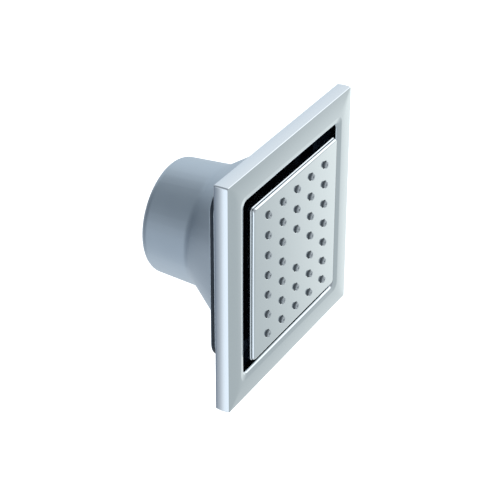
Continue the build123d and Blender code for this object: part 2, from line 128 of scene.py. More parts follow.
def soft_square(turns, half, corner):
    """Distance from the axis to a square with rounded corners, in each direction."""
    along, aside = np.abs(np.cos(turns)), np.abs(np.sin(turns))
    wide, narrow, both = np.maximum(along, aside), np.minimum(along, aside), along + aside
    core = half - corner
    on_corner = core * both + np.sqrt(np.maximum((core * both) ** 2 - 2 * core**2 + corner**2, 0))
    return np.where(half * narrow / wide <= core, half / wide, on_corner)


def loop_at(turns, radius, depth):
    """One loop round the axis: its radius in each direction, and its depth."""
    return np.stack([np.broadcast_to(radius, turns.shape), np.full(turns.shape, depth)], axis=1)


def eased(turns, corners, closed=True, steps=5, hold=0.12):
    """Loops of a section: its corners (radius, depth, rounding), each rounded in every direction."""
    points = [loop_at(turns, radius, depth) for radius, depth, _ in corners]
    loops = []
    for k, (_, _, rounding) in enumerate(corners):
        here = points[k]
        if rounding == 0 or (not closed and k in (0, len(corners) - 1)):
            loops.append((k, here))
            continue
        back, ahead = points[k - 1] - here, points[(k + 1) % len(corners)] - here
        long_back, long_ahead = np.linalg.norm(back, axis=1), np.linalg.norm(ahead, axis=1)
        back, ahead = back / long_back[:, None], ahead / long_ahead[:, None]
        half = np.arccos(np.clip(np.sum(back * ahead, axis=1), -0.9999, 0.9999)) / 2
        reach = np.minimum(rounding / np.tan(half), 0.66 * np.minimum(long_back, long_ahead))
        middle = back + ahead
        middle = middle / np.linalg.norm(middle, axis=1)[:, None]
        centre = here + middle * (reach / np.cos(half))[:, None]
        first, last = here + back * reach[:, None] - centre, here + ahead * reach[:, None] - centre
        bend = pi - 2 * half
        support = np.minimum(hold, 0.05 * np.minimum(long_back, long_ahead))[:, None]
        loops.append((k, centre + first + back * support))
        count = steps if rounding < 3 else 3 * steps
        for step in range(count + 1):
            share = step / count
            arc = np.sin((1 - share) * bend)[:, None] * first + np.sin(share * bend)[:, None] * last
            loops.append((k, centre + arc / np.sin(bend)[:, None]))
        loops.append((k, centre + last + ahead * support))
    return loops


def ring_piece(name, turns, loops, closed=True):
    """An object of loops round the jet's axis, in metres, with every loop joined to the next."""
    mesh = bpy.data.meshes.new(name)
    around = len(turns)
    places = [
        (loop[i, 0] * cos(turns[i]) * mm, loop[i, 1] * mm, loop[i, 0] * sin(turns[i]) * mm)
        for _, loop in loops
        for i in range(around)
    ]
    faces = []
    for j in range(len(loops) if closed else len(loops) - 1):
        below = (j + 1) % len(loops)
        for i in range(around):
            beside = (i + 1) % around
            faces.append((j * around + i, j * around + beside, below * around + beside, below * around + i))
    mesh.from_pydata(places, [], faces)
    piece = bpy.data.objects.new(name, mesh)
    bpy.context.scene.collection.objects.link(piece)
    return piece


# Squares are (half width, corner radius) in millimetres, and depths run from the wall's face into the wall
flange, mouth, box, groove = (50, 5), (45.6, 10), (41.5, 9), (40.5, 8)
groove_lip, flare_foot = (41.4, 8.9), (39.5, 30)
mouth_inside, box_inside, flare_inside = (44.2, 8.6), (38.5, 4), (37.5, 28)
flange_front, flange_back, mouth_back, mouth_floor = -2.8, -1, 4.6, 3.2
groove_front, groove_back, box_back, box_floor = 8.4, 10.1, 10.4, 9.7
flare_end, hub_back, recess_floor, back_wall = 30, 55.7, 49.7, 46.7
hub_root, hub_end, recess, inlet_hole = 28.6, 26.9, 20, 13.7
hub_root_inside, hub_end_inside = 26.6, 25.5
turns = bearings(flange, mouth, box, flare_foot, box_inside)
plated_section = [
    (soft_square(turns, *flange), flange_front, 0.3),
    (soft_square(turns, *flange), flange_back, 0.3),
    (soft_square(turns, *mouth), flange_back, 0.4),
    (soft_square(turns, *mouth), mouth_back, 0.8),
    (soft_square(turns, *box), mouth_back, 0.5),
    (soft_square(turns, *box), groove_front, 0.12),
    (soft_square(turns, *groove), groove_front, 0),
    (soft_square(turns, *groove), groove_back, 0),
    (soft_square(turns, *groove_lip), groove_back, 0.1),
    (soft_square(turns, *groove_lip), box_back, 0.1),
    (soft_square(turns, *flare_foot), box_back, 0.8),
    (hub_root, flare_end, 8),
    (hub_end, hub_back, 4.4),
    (recess, hub_back, 0.4),
    (recess, recess_floor, 0.5),
    (inlet_hole, recess_floor, 0.2),
    (inlet_hole, back_wall, 0.2),
]
shade_coated_section = [
    (hub_end_inside, back_wall, 2),
    (hub_root_inside, flare_end, 6),
    (soft_square(turns, *flare_inside), box_floor, 0.5),
    (soft_square(turns, *box_inside), box_floor, 0.3),
    (soft_square(turns, *box_inside), mouth_floor, 0.3),
    (soft_square(turns, *mouth_inside), mouth_floor, 0.3),
    (soft_square(turns, *mouth_inside), flange_front, 0.3),
]
loops = eased(turns, plated_section + shade_coated_section)
housing = ring_piece("bell_housing", turns, loops)
housing.data.materials.append(satin)
# The inside faces take the black coat, whose darkness paints the shade in the gap
housing.data.materials.append(shade_black_coat)
for face in housing.data.polygons:
    face.material_index = int(loops[face.index // len(turns)][0] >= len(plated_section))
sharp_from = 32


def finish_surface(piece, angle=sharp_from):
    """Turn the faces outwards and shade them smooth, apart from real edges."""
    shape = bmesh.new()
    shape.from_mesh(piece.data)
    bmesh.ops.recalc_face_normals(shape, faces=shape.faces)
    shape.to_mesh(piece.data)
    shape.free()
    piece.data.shade_smooth()
    piece.data.set_sharp_from_angle(angle=radians(angle))


def cut_away(piece, name, shape):
    """Cut a shape out of a finished piece."""
    mesh = bpy.data.meshes.new(name)
    shape.to_mesh(mesh)
    shape.free()
    cutter = bpy.data.objects.new(name, mesh)
    bpy.context.scene.collection.objects.link(cutter)
    cut = piece.modifiers.new(name, "BOOLEAN")
    cut.operation = "DIFFERENCE"
    cut.object = cutter
    cut.solver = "EXACT"
    made = bpy.data.meshes.new_from_object(piece.evaluated_get(bpy.context.evaluated_depsgraph_get()))
    piece.modifiers.remove(cut)
    bpy.data.objects.remove(cutter)
    piece.data = made
    piece.data.name = piece.name
    piece.data.set_sharp_from_angle(angle=radians(sharp_from))


# Its flange is drilled at the corners for the wall screws, and in the middle of each side for a clip's rivet
finish_surface(housing)
screw_out, screw_hole = 46.5, 2.25
rivet_out, rivet_hole = 47.3, 1
drill_long, drill_middle = 6, -1.9
holes = [(x, z, screw_hole) for x in (-screw_out, screw_out) for z in (-screw_out, screw_out)]
holes += [(x, z, rivet_hole) for x, z in ((rivet_out, 0), (-rivet_out, 0), (0, rivet_out), (0, -rivet_out))]
drills = bmesh.new()
for x, z, radius in holes:
    bmesh.ops.create_cone(
        drills, cap_ends=True, segments=32, radius1=radius * mm, radius2=radius * mm, depth=drill_long * mm,
        matrix=Matrix.Translation((x * mm, drill_middle * mm, z * mm)) @ Matrix.Rotation(pi / 2, 4, "X"),
    )
cut_away(housing, "flange_drills", drills)
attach(housing, "base")
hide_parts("housing")

# Box seal: a black rubber ring pressed into the groove round the back of the box, where it meets the wall.
# Rubber is matt and nearly black, with a dusty blue-grey bloom a few millimetres across.
rubber, tree, surface = new_material("black_rubber")
place = add(tree, "ShaderNodeTexCoord").outputs["Object"]
bloom = add(tree, "ShaderNodeTexNoise", values={"Scale": 1000 / 3, "Detail": 4}, links={"Vector": place})
tint = add(
    tree, "ShaderNodeMix", {"data_type": "RGBA"},
    {"A": colour("#1a2632"), "B": colour("#243342")}, {"Factor": bloom.outputs["Fac"]},
)
rough = add(
    tree, "ShaderNodeMapRange", values={"To Min": 0.5, "To Max": 0.7}, links={"Value": bloom.outputs["Fac"]}
)
tree.links.new(tint.outputs["Result"], surface.inputs["Base Color"])
tree.links.new(rough.outputs["Result"], surface.inputs["Roughness"])
seal_inner, seal_outer = (40.52, 8.02), (41.7, 9.2)
seal_front, seal_back = 8.42, 10.08
turns = bearings(seal_outer)
seal = ring_piece("wall_seal", turns, eased(turns, [
    (soft_square(turns, *seal_inner), seal_front, 0),
    (soft_square(turns, *seal_outer), seal_front, 0.45),
    (soft_square(turns, *seal_outer), seal_back, 0.45),
    (soft_square(turns, *seal_inner), seal_back, 0),
]))
seal.data.materials.append(rubber)
finish_surface(seal)
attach(seal, "base")
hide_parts("box_seal")

# Wall gasket: cut from closed-cell foam sheet, squeezed between the flange and the wall.
# Its cells are about 0.6 mm, seen as fine pits, each coloured darker towards its middle as painted shade.
foam, tree, surface = new_material("closed_cell_foam")
place = add(tree, "ShaderNodeTexCoord").outputs["Object"]
cells = add(tree, "ShaderNodeTexVoronoi", values={"Scale": 1000 / 0.6}, links={"Vector": place})
# Painted shade: the colour darkens towards the middle of each pit
tint = add(
    tree, "ShaderNodeMix", {"data_type": "RGBA"},
    {"A": colour("#2b2d30"), "B": colour("#4a4d51")}, {"Factor": cells.outputs["Distance"]},
)
bump = add(
    tree, "ShaderNodeBump",
    values={"Strength": 0.4, "Distance": 0.0001}, links={"Height": cells.outputs["Distance"]},
)
surface.inputs["Roughness"].default_value = 0.9
tree.links.new(tint.outputs["Result"], surface.inputs["Base Color"])
tree.links.new(bump.outputs["Normal"], surface.inputs["Normal"])


def coat(finish, *nodes):
    """Give the solids that are shown as they are their finish."""
    for node in nodes:
        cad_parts[node].data.materials.clear()
        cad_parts[node].data.materials.append(finish)


coat(foam, "wall_gasket")

# Inlet: a body turned from brass bar, with the cup for the ball in front and a half-inch pipe thread behind.
# It goes through the housing's back wall from inside, on an O-ring, and a lock nut holds it from behind.
# Turned brass: warm yellow, with the fine rings that the tool left, 0.25 mm apart.
brass, tree, surface = new_material("turned_brass")
place = add(tree, "ShaderNodeTexCoord").outputs["Object"]
lathe = add(tree, "ShaderNodeMapping", values={"Scale": (60, 1000 / 0.25, 60)}, links={"Vector": place})
rings = add(
    tree, "ShaderNodeTexNoise", values={"Scale": 1, "Detail": 2}, links={"Vector": lathe.outputs["Vector"]}
)
tarnish = add(tree, "ShaderNodeTexNoise", values={"Scale": 1000 / 9, "Detail": 4}, links={"Vector": place})
tint = add(
    tree, "ShaderNodeMix", {"data_type": "RGBA"},
    {"A": colour("#d8bd7c"), "B": colour("#c4a15c")}, {"Factor": tarnish.outputs["Fac"]},
)
rough = add(
    tree, "ShaderNodeMapRange",
    values={"To Min": 0.2, "To Max": 0.36}, links={"Value": tarnish.outputs["Fac"]},
)
bump = add(
    tree, "ShaderNodeBump",
    values={"Strength": 0.12, "Distance": 0.00003}, links={"Height": rings.outputs["Fac"]},
)
surface.inputs["Metallic"].default_value = 1
tree.links.new(tint.outputs["Result"], surface.inputs["Base Color"])
tree.links.new(rough.outputs["Result"], surface.inputs["Roughness"])
tree.links.new(bump.outputs["Normal"], surface.inputs["Normal"])

cup_inside, cup_outside, cup_front, cup_floor = 13, 16, 19, 35.2
shoulder, shoulder_front = 18.5, 43.2
ring_groove_inner, ring_groove_outer, ring_groove_floor = 15.1, 17.3, 45.1
spigot, water_way = 13.5, 6
lead_in_outer, lead_in_inner, lead_in_floor = 10.9, 10.4, 55.1
turns = np.radians(np.arange(0, 360, 3.75))
front = eased(turns, [
    (water_way, cup_floor, 0.2),
    (cup_inside, cup_floor, 0.3),
    (cup_inside, cup_front, 0.3),
    (cup_outside, cup_front, 0.3),
    (cup_outside, shoulder_front, 0.3),
    (shoulder, shoulder_front, 0.5),
    (shoulder, back_wall, 0.2),
    (ring_groove_outer, back_wall, 0.1),
    (ring_groove_outer, ring_groove_floor, 0.1),
    (ring_groove_inner, ring_groove_floor, 0.1),
    (ring_groove_inner, back_wall, 0.1),
    (spigot, back_wall, 0.1),
    (spigot, hub_back, 0.6),
    (lead_in_outer, hub_back, 0.2),
    (lead_in_inner, lead_in_floor, 0),
], closed=False)
thread_pitch, thread_bore, thread_deep = 1.814, 9.3, 1.1
thread_mouth, thread_end, thread_runout = 54.9, 43.2, 2.4
steps_in_pitch, crest_cut = 10, 0.12
# The thread's flanks are straight, between a narrow flat at the crest and a wider one at the root
thread = []
for depth in np.arange(thread_mouth, thread_end, -thread_pitch / steps_in_pitch):
    phase = np.mod(depth / thread_pitch + turns / (2 * pi), 1)
    ridge = np.clip(1.25 - 2.5 * np.abs(phase - 0.5), crest_cut, 1) - crest_cut
    fade = np.clip((depth - thread_end) / thread_runout, 0, 1)
    thread.append((0, loop_at(turns, thread_bore + thread_deep * ridge * fade, depth)))
screen_seat, screen_back, screen_front = 8.2, 41.7, 39.7
step = eased(turns, [
    (thread_bore, 43, 0),
    (thread_bore, screen_back, 0.1),
    (screen_seat, screen_back, 0.1),
    (screen_seat, screen_front, 0.1),
    (water_way, screen_front, 0.2),
    (water_way, 35.4, 0),
], closed=False)
inlet = ring_piece("inlet_fitting", turns, front + thread + step)
inlet.data.materials.append(brass)
finish_surface(inlet)
# The rim of the cup is slotted on both sides for the pins that keep the face square
slot_long, slot_deep, slot_wide, slot_middle = 40, 9.8, 2.66, 20.5
slots = bmesh.new()
bmesh.ops.create_cube(
    slots, size=1,
    matrix=Matrix.Translation((0, slot_middle * mm, 0))
    @ Matrix.Diagonal((slot_long * mm, slot_deep * mm, slot_wide * mm, 1)),
)
cut_away(inlet, "pin_slots", slots)
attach(inlet, "base")
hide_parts("inlet_body")
coat(brass, "nut_washer")
coat(rubber, "inlet_o_ring")

# Lock nut: a thin brass hexagon, 33 mm across the flats, that sits in the recess of the hub.
# Its corners are chamfered on both faces, as on a nut turned from hexagon bar.
nut_flats, nut_bore, nut_bore_mouth = 16.5, 13.55, 14.2
nut_front, nut_back, nut_face = 50.7, 55.1, 16.2
nut_bore_front, nut_bore_back = 51.3, 54.5
bevel_from, bevel_out, bevel_deep = 16.3, 2.8, 1.3
turns = np.radians(np.arange(0, 360, 2.5))
flats = nut_flats / np.cos(np.mod(turns + pi / 6, pi / 3) - pi / 6)
nut_section = [(nut_bore_mouth, nut_front), (nut_face, nut_front)]
for share in np.linspace(0, 1, 7):
    nut_section.append((np.minimum(flats, bevel_from + bevel_out * share), nut_front + bevel_deep * share))
for share in np.linspace(1, 0, 7):
    nut_section.append((np.minimum(flats, bevel_from + bevel_out * share), nut_back - bevel_deep * share))
nut_section += [(nut_face, nut_back), (nut_bore_mouth, nut_back)]
nut_section += [(nut_bore, nut_bore_back), (nut_bore, nut_bore_front)]
nut = ring_piece("hex_lock_nut", turns, [(0, loop_at(turns, radius, depth)) for radius, depth in nut_section])
nut.data.materials.append(brass)
finish_surface(nut, 20)
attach(nut, "base")
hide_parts("inlet_lock_nut")

# Filter screen: a cup drawn from stainless sheet, its end pierced with rows of fine holes against grit.
# Stainless steel: cool grey, with the soft cross-grain of rolled sheet, 0.3 mm apart.
steel, tree, surface = new_material("stainless_steel")
place = add(tree, "ShaderNodeTexCoord").outputs["Object"]
rolled = add(tree, "ShaderNodeMapping", values={"Scale": (1000 / 0.3, 80, 80)}, links={"Vector": place})
lines = add(
    tree, "ShaderNodeTexNoise", values={"Scale": 1, "Detail": 2}, links={"Vector": rolled.outputs["Vector"]}
)
rough = add(
    tree, "ShaderNodeMapRange", values={"To Min": 0.24, "To Max": 0.4}, links={"Value": lines.outputs["Fac"]}
)
bump = add(
    tree, "ShaderNodeBump",
    values={"Strength": 0.08, "Distance": 0.00003}, links={"Height": lines.outputs["Fac"]},
)
surface.inputs["Base Color"].default_value = colour("#c5c6c4")
surface.inputs["Metallic"].default_value = 1
tree.links.new(rough.outputs["Result"], surface.inputs["Roughness"])
tree.links.new(bump.outputs["Normal"], surface.inputs["Normal"])


# The sheet with holes is one tree for every piece that has them: the open front and back of a ring are
# filled round a grid of holes, and each hole gets its own lip, tube or tip.
def drilled_sheet():
    """Geometry Nodes that close a ring with a sheet and put a grid of holes in it."""
    tree = bpy.data.node_groups.new("drilled_sheet", "GeometryNodeTree")
    tree.interface.new_socket("Geometry", in_out="OUTPUT", socket_type="NodeSocketGeometry")
    tree.interface.new_socket("Geometry", in_out="INPUT", socket_type="NodeSocketGeometry")
    for name, kind in [
        ("Columns", "Int"), ("Rows", "Int"), ("Span X", "Float"), ("Span Z", "Float"), ("Keep From", "Float"),
        ("Keep To", "Float"), ("Sides", "Int"), ("Front Hole", "Float"), ("Back Hole", "Float"),
        ("Front Height", "Float"), ("Back Height", "Float"), ("Hole Lining", "Object"),
        ("Finish", "Material"),
    ]:
        tree.interface.new_socket(name, in_out="INPUT", socket_type="NodeSocket" + kind)
    given = add(tree, "NodeGroupInput").outputs
    grid = add(tree, "GeometryNodeMeshGrid", links={
        "Size X": given["Span X"], "Size Y": given["Span Z"],
        "Vertices X": given["Columns"], "Vertices Y": given["Rows"],
    })
    where = add(tree, "GeometryNodeInputPosition").outputs["Position"]
    away = add(tree, "ShaderNodeVectorMath", {"operation": "LENGTH"}, links={0: where}).outputs["Value"]
    near = add(
        tree, "FunctionNodeCompare", {"operation": "LESS_THAN"}, links={0: away, 1: given["Keep From"]}
    )
    far = add(
        tree, "FunctionNodeCompare", {"operation": "GREATER_THAN"}, links={0: away, 1: given["Keep To"]}
    )
    left_out = add(
        tree, "FunctionNodeBooleanMath", {"operation": "OR"},
        links={0: near.outputs["Result"], 1: far.outputs["Result"]},
    )
    spots = add(
        tree, "GeometryNodeDeleteGeometry", {"domain": "POINT"},
        links={"Geometry": grid.outputs["Mesh"], "Selection": left_out.outputs["Boolean"]},
    ).outputs["Geometry"]
    beside = add(tree, "GeometryNodeInputMeshEdgeNeighbors").outputs["Face Count"]
    rim = add(
        tree, "FunctionNodeCompare", {"data_type": "INT", "operation": "EQUAL"}, {3: 1}, {2: beside}
    ).outputs["Result"]
    height = add(tree, "ShaderNodeSeparateXYZ", links={"Vector": where}).outputs["Z"]
    sheets = []
    for side in ("Front", "Back"):
        level = add(
            tree, "FunctionNodeCompare", {"operation": "EQUAL"}, {"Epsilon": 0.00001},
            {0: height, 1: given[side + " Height"]},
        ).outputs["Result"]
        both = add(tree, "FunctionNodeBooleanMath", {"operation": "AND"}, links={0: rim, 1: level})
        outline = add(
            tree, "GeometryNodeMeshToCurve",
            links={"Mesh": given["Geometry"], "Selection": both.outputs["Boolean"]},
        )
        circle = add(
            tree, "GeometryNodeCurvePrimitiveCircle",
            links={"Resolution": given["Sides"], "Radius": given[side + " Hole"]},
        )
        holes = add(
            tree, "GeometryNodeInstanceOnPoints",
            links={"Points": spots, "Instance": circle.outputs["Curve"]},
        )
        holes = add(tree, "GeometryNodeRealizeInstances", links={"Geometry": holes.outputs["Instances"]})
        curves = add(tree, "GeometryNodeJoinGeometry", links={"Geometry": outline.outputs["Curve"]})
        tree.links.new(holes.outputs["Geometry"], curves.inputs["Geometry"])
        sheet = add(
            tree, "GeometryNodeFillCurve", {"mode": "TRIANGLES"},
            links={"Curve": curves.outputs["Geometry"]},
        )
        lift = add(tree, "ShaderNodeCombineXYZ", links={"Z": given[side + " Height"]})
        sheets.append(add(
            tree, "GeometryNodeTransform",
            links={"Geometry": sheet.outputs["Mesh"], "Translation": lift.outputs["Vector"]},
        ))
    lining = add(tree, "GeometryNodeObjectInfo", links={"Object": given["Hole Lining"]})
    lined = add(
        tree, "GeometryNodeInstanceOnPoints",
        links={"Points": spots, "Instance": lining.outputs["Geometry"]},
    )
    whole = add(tree, "GeometryNodeJoinGeometry", links={"Geometry": given["Geometry"]})
    for part in sheets:
        tree.links.new(part.outputs["Geometry"], whole.inputs["Geometry"])
    tree.links.new(lined.outputs["Instances"], whole.inputs["Geometry"])
    solid = add(tree, "GeometryNodeRealizeInstances", links={"Geometry": whole.outputs["Geometry"]})
    merged = add(
        tree, "GeometryNodeMergeByDistance", values={"Distance": 0.000003},
        links={"Geometry": solid.outputs["Geometry"]},
    )
    finished = add(
        tree, "GeometryNodeSetMaterial",
        links={"Geometry": merged.outputs["Geometry"], "Material": given["Finish"]},
    )
    add(tree, "NodeGroupOutput", links={"Geometry": finished.outputs["Geometry"]})
    return tree


drilling = drilled_sheet()
hole_sides = 32


def drill_ring(piece, lining, grid):
    """Fill a ring with its drilled sheet. A hole's lining is a section of (radius, depth) in millimetres."""
    upright = Matrix.Rotation(-pi / 2, 4, "X")
    turns = np.arange(hole_sides) * 2 * pi / hole_sides
    hole = ring_piece(
        "hole_lining", turns, [(0, loop_at(turns, radius, depth)) for radius, depth in lining], closed=False
    )
    hole.data.transform(upright)
    piece.data.transform(upright)
    modifier = piece.modifiers.new("drilled", "NODES")
    modifier.node_group = drilling
    sizes = {
        **grid, "Sides": hole_sides, "Hole Lining": hole, "Finish": piece.data.materials[0],
        "Front Hole": lining[0][0] * mm, "Back Hole": lining[-1][0] * mm,
        "Front Height": -lining[0][1] * mm, "Back Height": -lining[-1][1] * mm,
    }
    for item in drilling.interface.items_tree:
        if item.name in sizes and item.in_out == "INPUT":
            modifier[item.identifier] = sizes[item.name]
    made = bpy.data.meshes.new_from_object(piece.evaluated_get(bpy.context.evaluated_depsgraph_get()))
    made.name = piece.name
    piece.modifiers.remove(modifier)
    piece.data = made
    piece.data.transform(upright.inverted())
    bpy.data.objects.remove(hole)
    finish_surface(piece)


cup_end, cup_end_inside, cup_wall, cup_bore = 37.7, 38.3, 5.7, 5.1
rim_front, rim_back, rim_edge = 39.75, 41.65, 8.1
screen_rows, screen_span, screen_reach = 9, 8.8, 4.3
turns = np.radians(np.arange(0, 360, 7.5))
screen = ring_piece("grit_screen", turns, eased(turns, [
    (5, cup_end, 0),
    (cup_wall, cup_end, 0.4),
    (cup_wall, rim_front, 0.2),
    (rim_edge, rim_front, 0.2),
    (rim_edge, rim_back, 0.3),
    (cup_bore, rim_back, 0.3),
    (cup_bore, cup_end_inside, 0.15),
    (4.8, cup_end_inside, 0),
], closed=False), closed=False)
screen.data.materials.append(steel)
pierced = [(0.36, cup_end), (0.33, 37.75), (0.33, 38.25), (0.36, cup_end_inside)]
drill_ring(screen, pierced, {
    "Columns": screen_rows, "Rows": screen_rows, "Span X": screen_span * mm, "Span Z": screen_span * mm,
    "Keep From": -mm, "Keep To": screen_reach * mm,
})
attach(screen, "base")
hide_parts("filter_screen")

# Ball joint: a hollow brass ball turns between a plastic seat, pressed by a spring washer, and a collar.
# Two steel pins keep the face square. The seat and the flow disc are acetal: white, smooth, slightly waxy.
acetal, tree, surface = new_material("white_acetal")
place = add(tree, "ShaderNodeTexCoord").outputs["Object"]
wax = add(tree, "ShaderNodeTexNoise", values={"Scale": 1000 / 4, "Detail": 2}, links={"Vector": place})
rough = add(
    tree, "ShaderNodeMapRange", values={"To Min": 0.34, "To Max": 0.46}, links={"Value": wax.outputs["Fac"]}
)
surface.inputs["Base Color"].default_value = colour("#eceae3")
surface.inputs["IOR"].default_value = 1.48
tree.links.new(rough.outputs["Result"], surface.inputs["Roughness"])
coat(acetal, "ball_seat", "flow_restrictor")
coat(rubber, "ball_seal", "stem_washer")
coat(steel, "seat_spring", "guide_pins")
coat(brass, "swivel_ball")

# Spray head, back: a black moulding that closes the water chamber, held by four screws from behind.
# ABS from a fine-textured mould, as the ball's collar: nearly black, with a grain of about 0.5 mm.
black_abs, tree, surface = new_material("black_abs")
place = add(tree, "ShaderNodeTexCoord").outputs["Object"]
grain = add(tree, "ShaderNodeTexNoise", values={"Scale": 1000 / 0.5, "Detail": 2}, links={"Vector": place})
rough = add(
    tree, "ShaderNodeMapRange",
    values={"To Min": 0.48, "To Max": 0.62}, links={"Value": grain.outputs["Fac"]},
)
bump = add(
    tree, "ShaderNodeBump",
    values={"Strength": 0.08, "Distance": 0.00005}, links={"Height": grain.outputs["Fac"]},
)
surface.inputs["Base Color"].default_value = colour("#18202a")
surface.inputs["IOR"].default_value = 1.46
surface.inputs["Specular IOR Level"].default_value = 0.3
tree.links.new(rough.outputs["Result"], surface.inputs["Roughness"])
tree.links.new(bump.outputs["Normal"], surface.inputs["Normal"])
coat(black_abs, "chamber_back", "ball_nut")
coat(steel, "chamber_screws")

# Nozzle mat: one moulding of grey silicone behind the face, with a tapered tip and a jet through each hole.
# Silicone is matt, with a dusty skin of 1 mm. It is painted darker in the web and along each tip's flank
# inside its hole, as painted shade, and pale at the tips' ends.
silicone, tree, surface = new_material("grey_silicone")
place = add(tree, "ShaderNodeTexCoord").outputs["Object"]
dust = add(tree, "ShaderNodeTexNoise", values={"Scale": 1000, "Detail": 3}, links={"Vector": place})
out = add(tree, "ShaderNodeSeparateXYZ", links={"Vector": place}).outputs["Y"]
# Painted shade: dark from the web along each tip's flank, fading to pale at the tip's end
painted_shade_ramp = add(
    tree, "ShaderNodeMapRange", values={"From Min": -0.0096, "From Max": -0.0102}, links={"Value": out}
).outputs["Result"]
dusty = add(
    tree, "ShaderNodeMix", {"data_type": "RGBA"},
    {"A": colour("#c9d0d4"), "B": colour("#d8dee2")}, {"Factor": dust.outputs["Fac"]},
)
tint = add(
    tree, "ShaderNodeMix", {"data_type": "RGBA"}, {"A": colour("#6c7379")},
    {"Factor": painted_shade_ramp, "B": dusty.outputs["Result"]},
)
rough = add(
    tree, "ShaderNodeMapRange", values={"To Min": 0.5, "To Max": 0.68}, links={"Value": dust.outputs["Fac"]}
)
surface.inputs["IOR"].default_value = 1.41
tree.links.new(tint.outputs["Result"], surface.inputs["Base Color"])
tree.links.new(rough.outputs["Result"], surface.inputs["Roughness"])
columns, rows = 5, 7
pitch_x, pitch_z = 12.9, 9.9
nozzle_grid = {
    "Columns": columns, "Rows": rows,
    "Span X": (columns - 1) * pitch_x * mm, "Span Z": (rows - 1) * pitch_z * mm,
    "Keep From": mm, "Keep To": 100 * mm,
}
web_edge, web_sheet, web_front, web_back = (35.7, 0.4), (35.3, 0.3), -7.5, -5.9
turns = bearings(web_edge)
mat = ring_piece("nozzle_moulding", turns, eased(turns, [
    (soft_square(turns, *web_sheet), web_front, 0),
    (soft_square(turns, *web_edge), web_front, 0.12),
    (soft_square(turns, *web_edge), web_back, 0.12),
    (soft_square(turns, *web_sheet), web_back, 0),
], closed=False), closed=False)
mat.data.materials.append(silicone)
tip, tip_rounding, tip_shoulder, jet = 1.44, 0.26, -10.1, 0.5
eighths = np.radians([22, 45, 68, 90])
tip_section = [(1.8, web_front), (1.72, -7.54), (1.66, -7.7), (1.56, -9.2), (tip, tip_shoulder)]
tip_section += [
    (tip - tip_rounding * (1 - cos(a)), tip_shoulder - tip_rounding * sin(a)) for a in eighths
]
tip_section += [(0.62, -10.36), (0.53, -10.31), (jet, -10.2), (jet, web_front), (jet, web_back)]
drill_ring(mat, tip_section, nozzle_grid)
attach(mat, "head")
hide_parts("nozzle_mat")

# Face plate: a square chrome cap with a crisp rounded rim and a narrow lip round its back edge.
# It is drilled for the nozzles, and each hole has a softly broken edge.
face_front, face_lip_front, face_back = -9.2, -7.6, -5.9
face_rim, face_lip, face_inside, face_sheet = (37.6, 1.4), (38, 1.8), (35.9, 0.4), (35, 0.4)
turns = bearings(face_rim, face_lip)
face = ring_piece("spray_face", turns, eased(turns, [
    (soft_square(turns, *face_sheet), face_front, 0),
    (soft_square(turns, *face_rim), face_front, 1.15),
    (soft_square(turns, *face_rim), face_lip_front, 0.1),
    (soft_square(turns, *face_lip), face_lip_front, 0.3),
    (soft_square(turns, *face_lip), face_back, 0.15),
    (soft_square(turns, *face_inside), face_back, 0.1),
    (soft_square(turns, *face_inside), web_front, 0),
], closed=False), closed=False)
# Chrome plate on polished brass: bright, faintly blue, with a haze that comes and goes over about 15 mm.
# The face is given a brighter base colour than the trim plate, and buffing left it crowned to a radius of 1.1
# m.
finishes = {}
for finish, base, crown_radius in [("trim_chrome", "#dde3e8", 0), ("face_chrome", "#ebf0f4", 1.1)]:
    finishes[finish], tree, surface = new_material(finish)
    place = add(tree, "ShaderNodeTexCoord").outputs["Object"]
    haze = add(tree, "ShaderNodeTexNoise", values={"Scale": 1000 / 15, "Detail": 3}, links={"Vector": place})
    peel = add(tree, "ShaderNodeTexNoise", values={"Scale": 1000 / 1.2, "Detail": 1}, links={"Vector": place})
    rough = add(
        tree, "ShaderNodeMapRange",
        values={"From Min": 0.3, "From Max": 0.7, "To Min": 0.09, "To Max": 0.13},
        links={"Value": haze.outputs["Fac"]},
    )
    bump = add(
        tree, "ShaderNodeBump", values={"Strength": 0.03, "Distance": 0.00002},
        links={"Height": peel.outputs["Fac"]},
    )
    if crown_radius:
        across = add(tree, "ShaderNodeSeparateXYZ", links={"Vector": place}).outputs["X"]
        squared = add(tree, "ShaderNodeMath", {"operation": "MULTIPLY"}, links={0: across, 1: across})
        crown = add(
            tree, "ShaderNodeMath", {"operation": "MULTIPLY"},
            {1: -0.5 / crown_radius}, {0: squared.outputs["Value"]},
        )
        crowned = add(
            tree, "ShaderNodeBump", values={"Distance": 1}, links={"Height": crown.outputs["Value"]}
        )
        tree.links.new(crowned.outputs["Normal"], bump.inputs["Normal"])
    surface.inputs["Base Color"].default_value = colour(base)
    surface.inputs["Metallic"].default_value = 1
    tree.links.new(rough.outputs["Result"], surface.inputs["Roughness"])
    tree.links.new(bump.outputs["Normal"], surface.inputs["Normal"])
face.data.materials.append(finishes["face_chrome"])
hole, broken_edge, edge_starts, flat_round_edge = 1.85, 0.27, 2.12, 2.3
lip_section = [(flat_round_edge, face_front), (edge_starts, face_front)]
lip_section += [
    (edge_starts - broken_edge * sin(a), face_front + broken_edge * (1 - cos(a))) for a in eighths
]
lip_section += [(hole, -8.8), (hole, web_front)]
drill_ring(face, lip_section, nozzle_grid)
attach(face, "head")
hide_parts("face_plate")

# Trim plate: a square chrome frame pressed over four leaf springs, so it hides the flange and the screws.
# Its sides are slightly bowed, and its front swells from the rim to a ridge that rolls into the opening.
plate_rim, plate_corner, plate_inside = 55.4, 0.8, (53.6, 0.2)
plate_front, ridge, ridge_rise = -6.6, 45.4, 0.6
opening, opening_inside = (42.4, 3.2), (44.7, 4.8)
opening_back, sheet_back = -3.3, -4.8
bow, bow_middle, ridge_width, corner_growth, growth_from = 0.018, -3.2, 9.8, 0.3, 55.2
roll_outer, roll_top, roll_inner = (45.5, 3.8), -7.2, -6.8
turns = bearings((plate_rim, plate_corner), opening, opening_inside)


def bowed(depth):
    """Half width of the plate at a depth: its sides swell a little between the back and the front."""
    return plate_rim - bow * (depth - bow_middle) ** 2


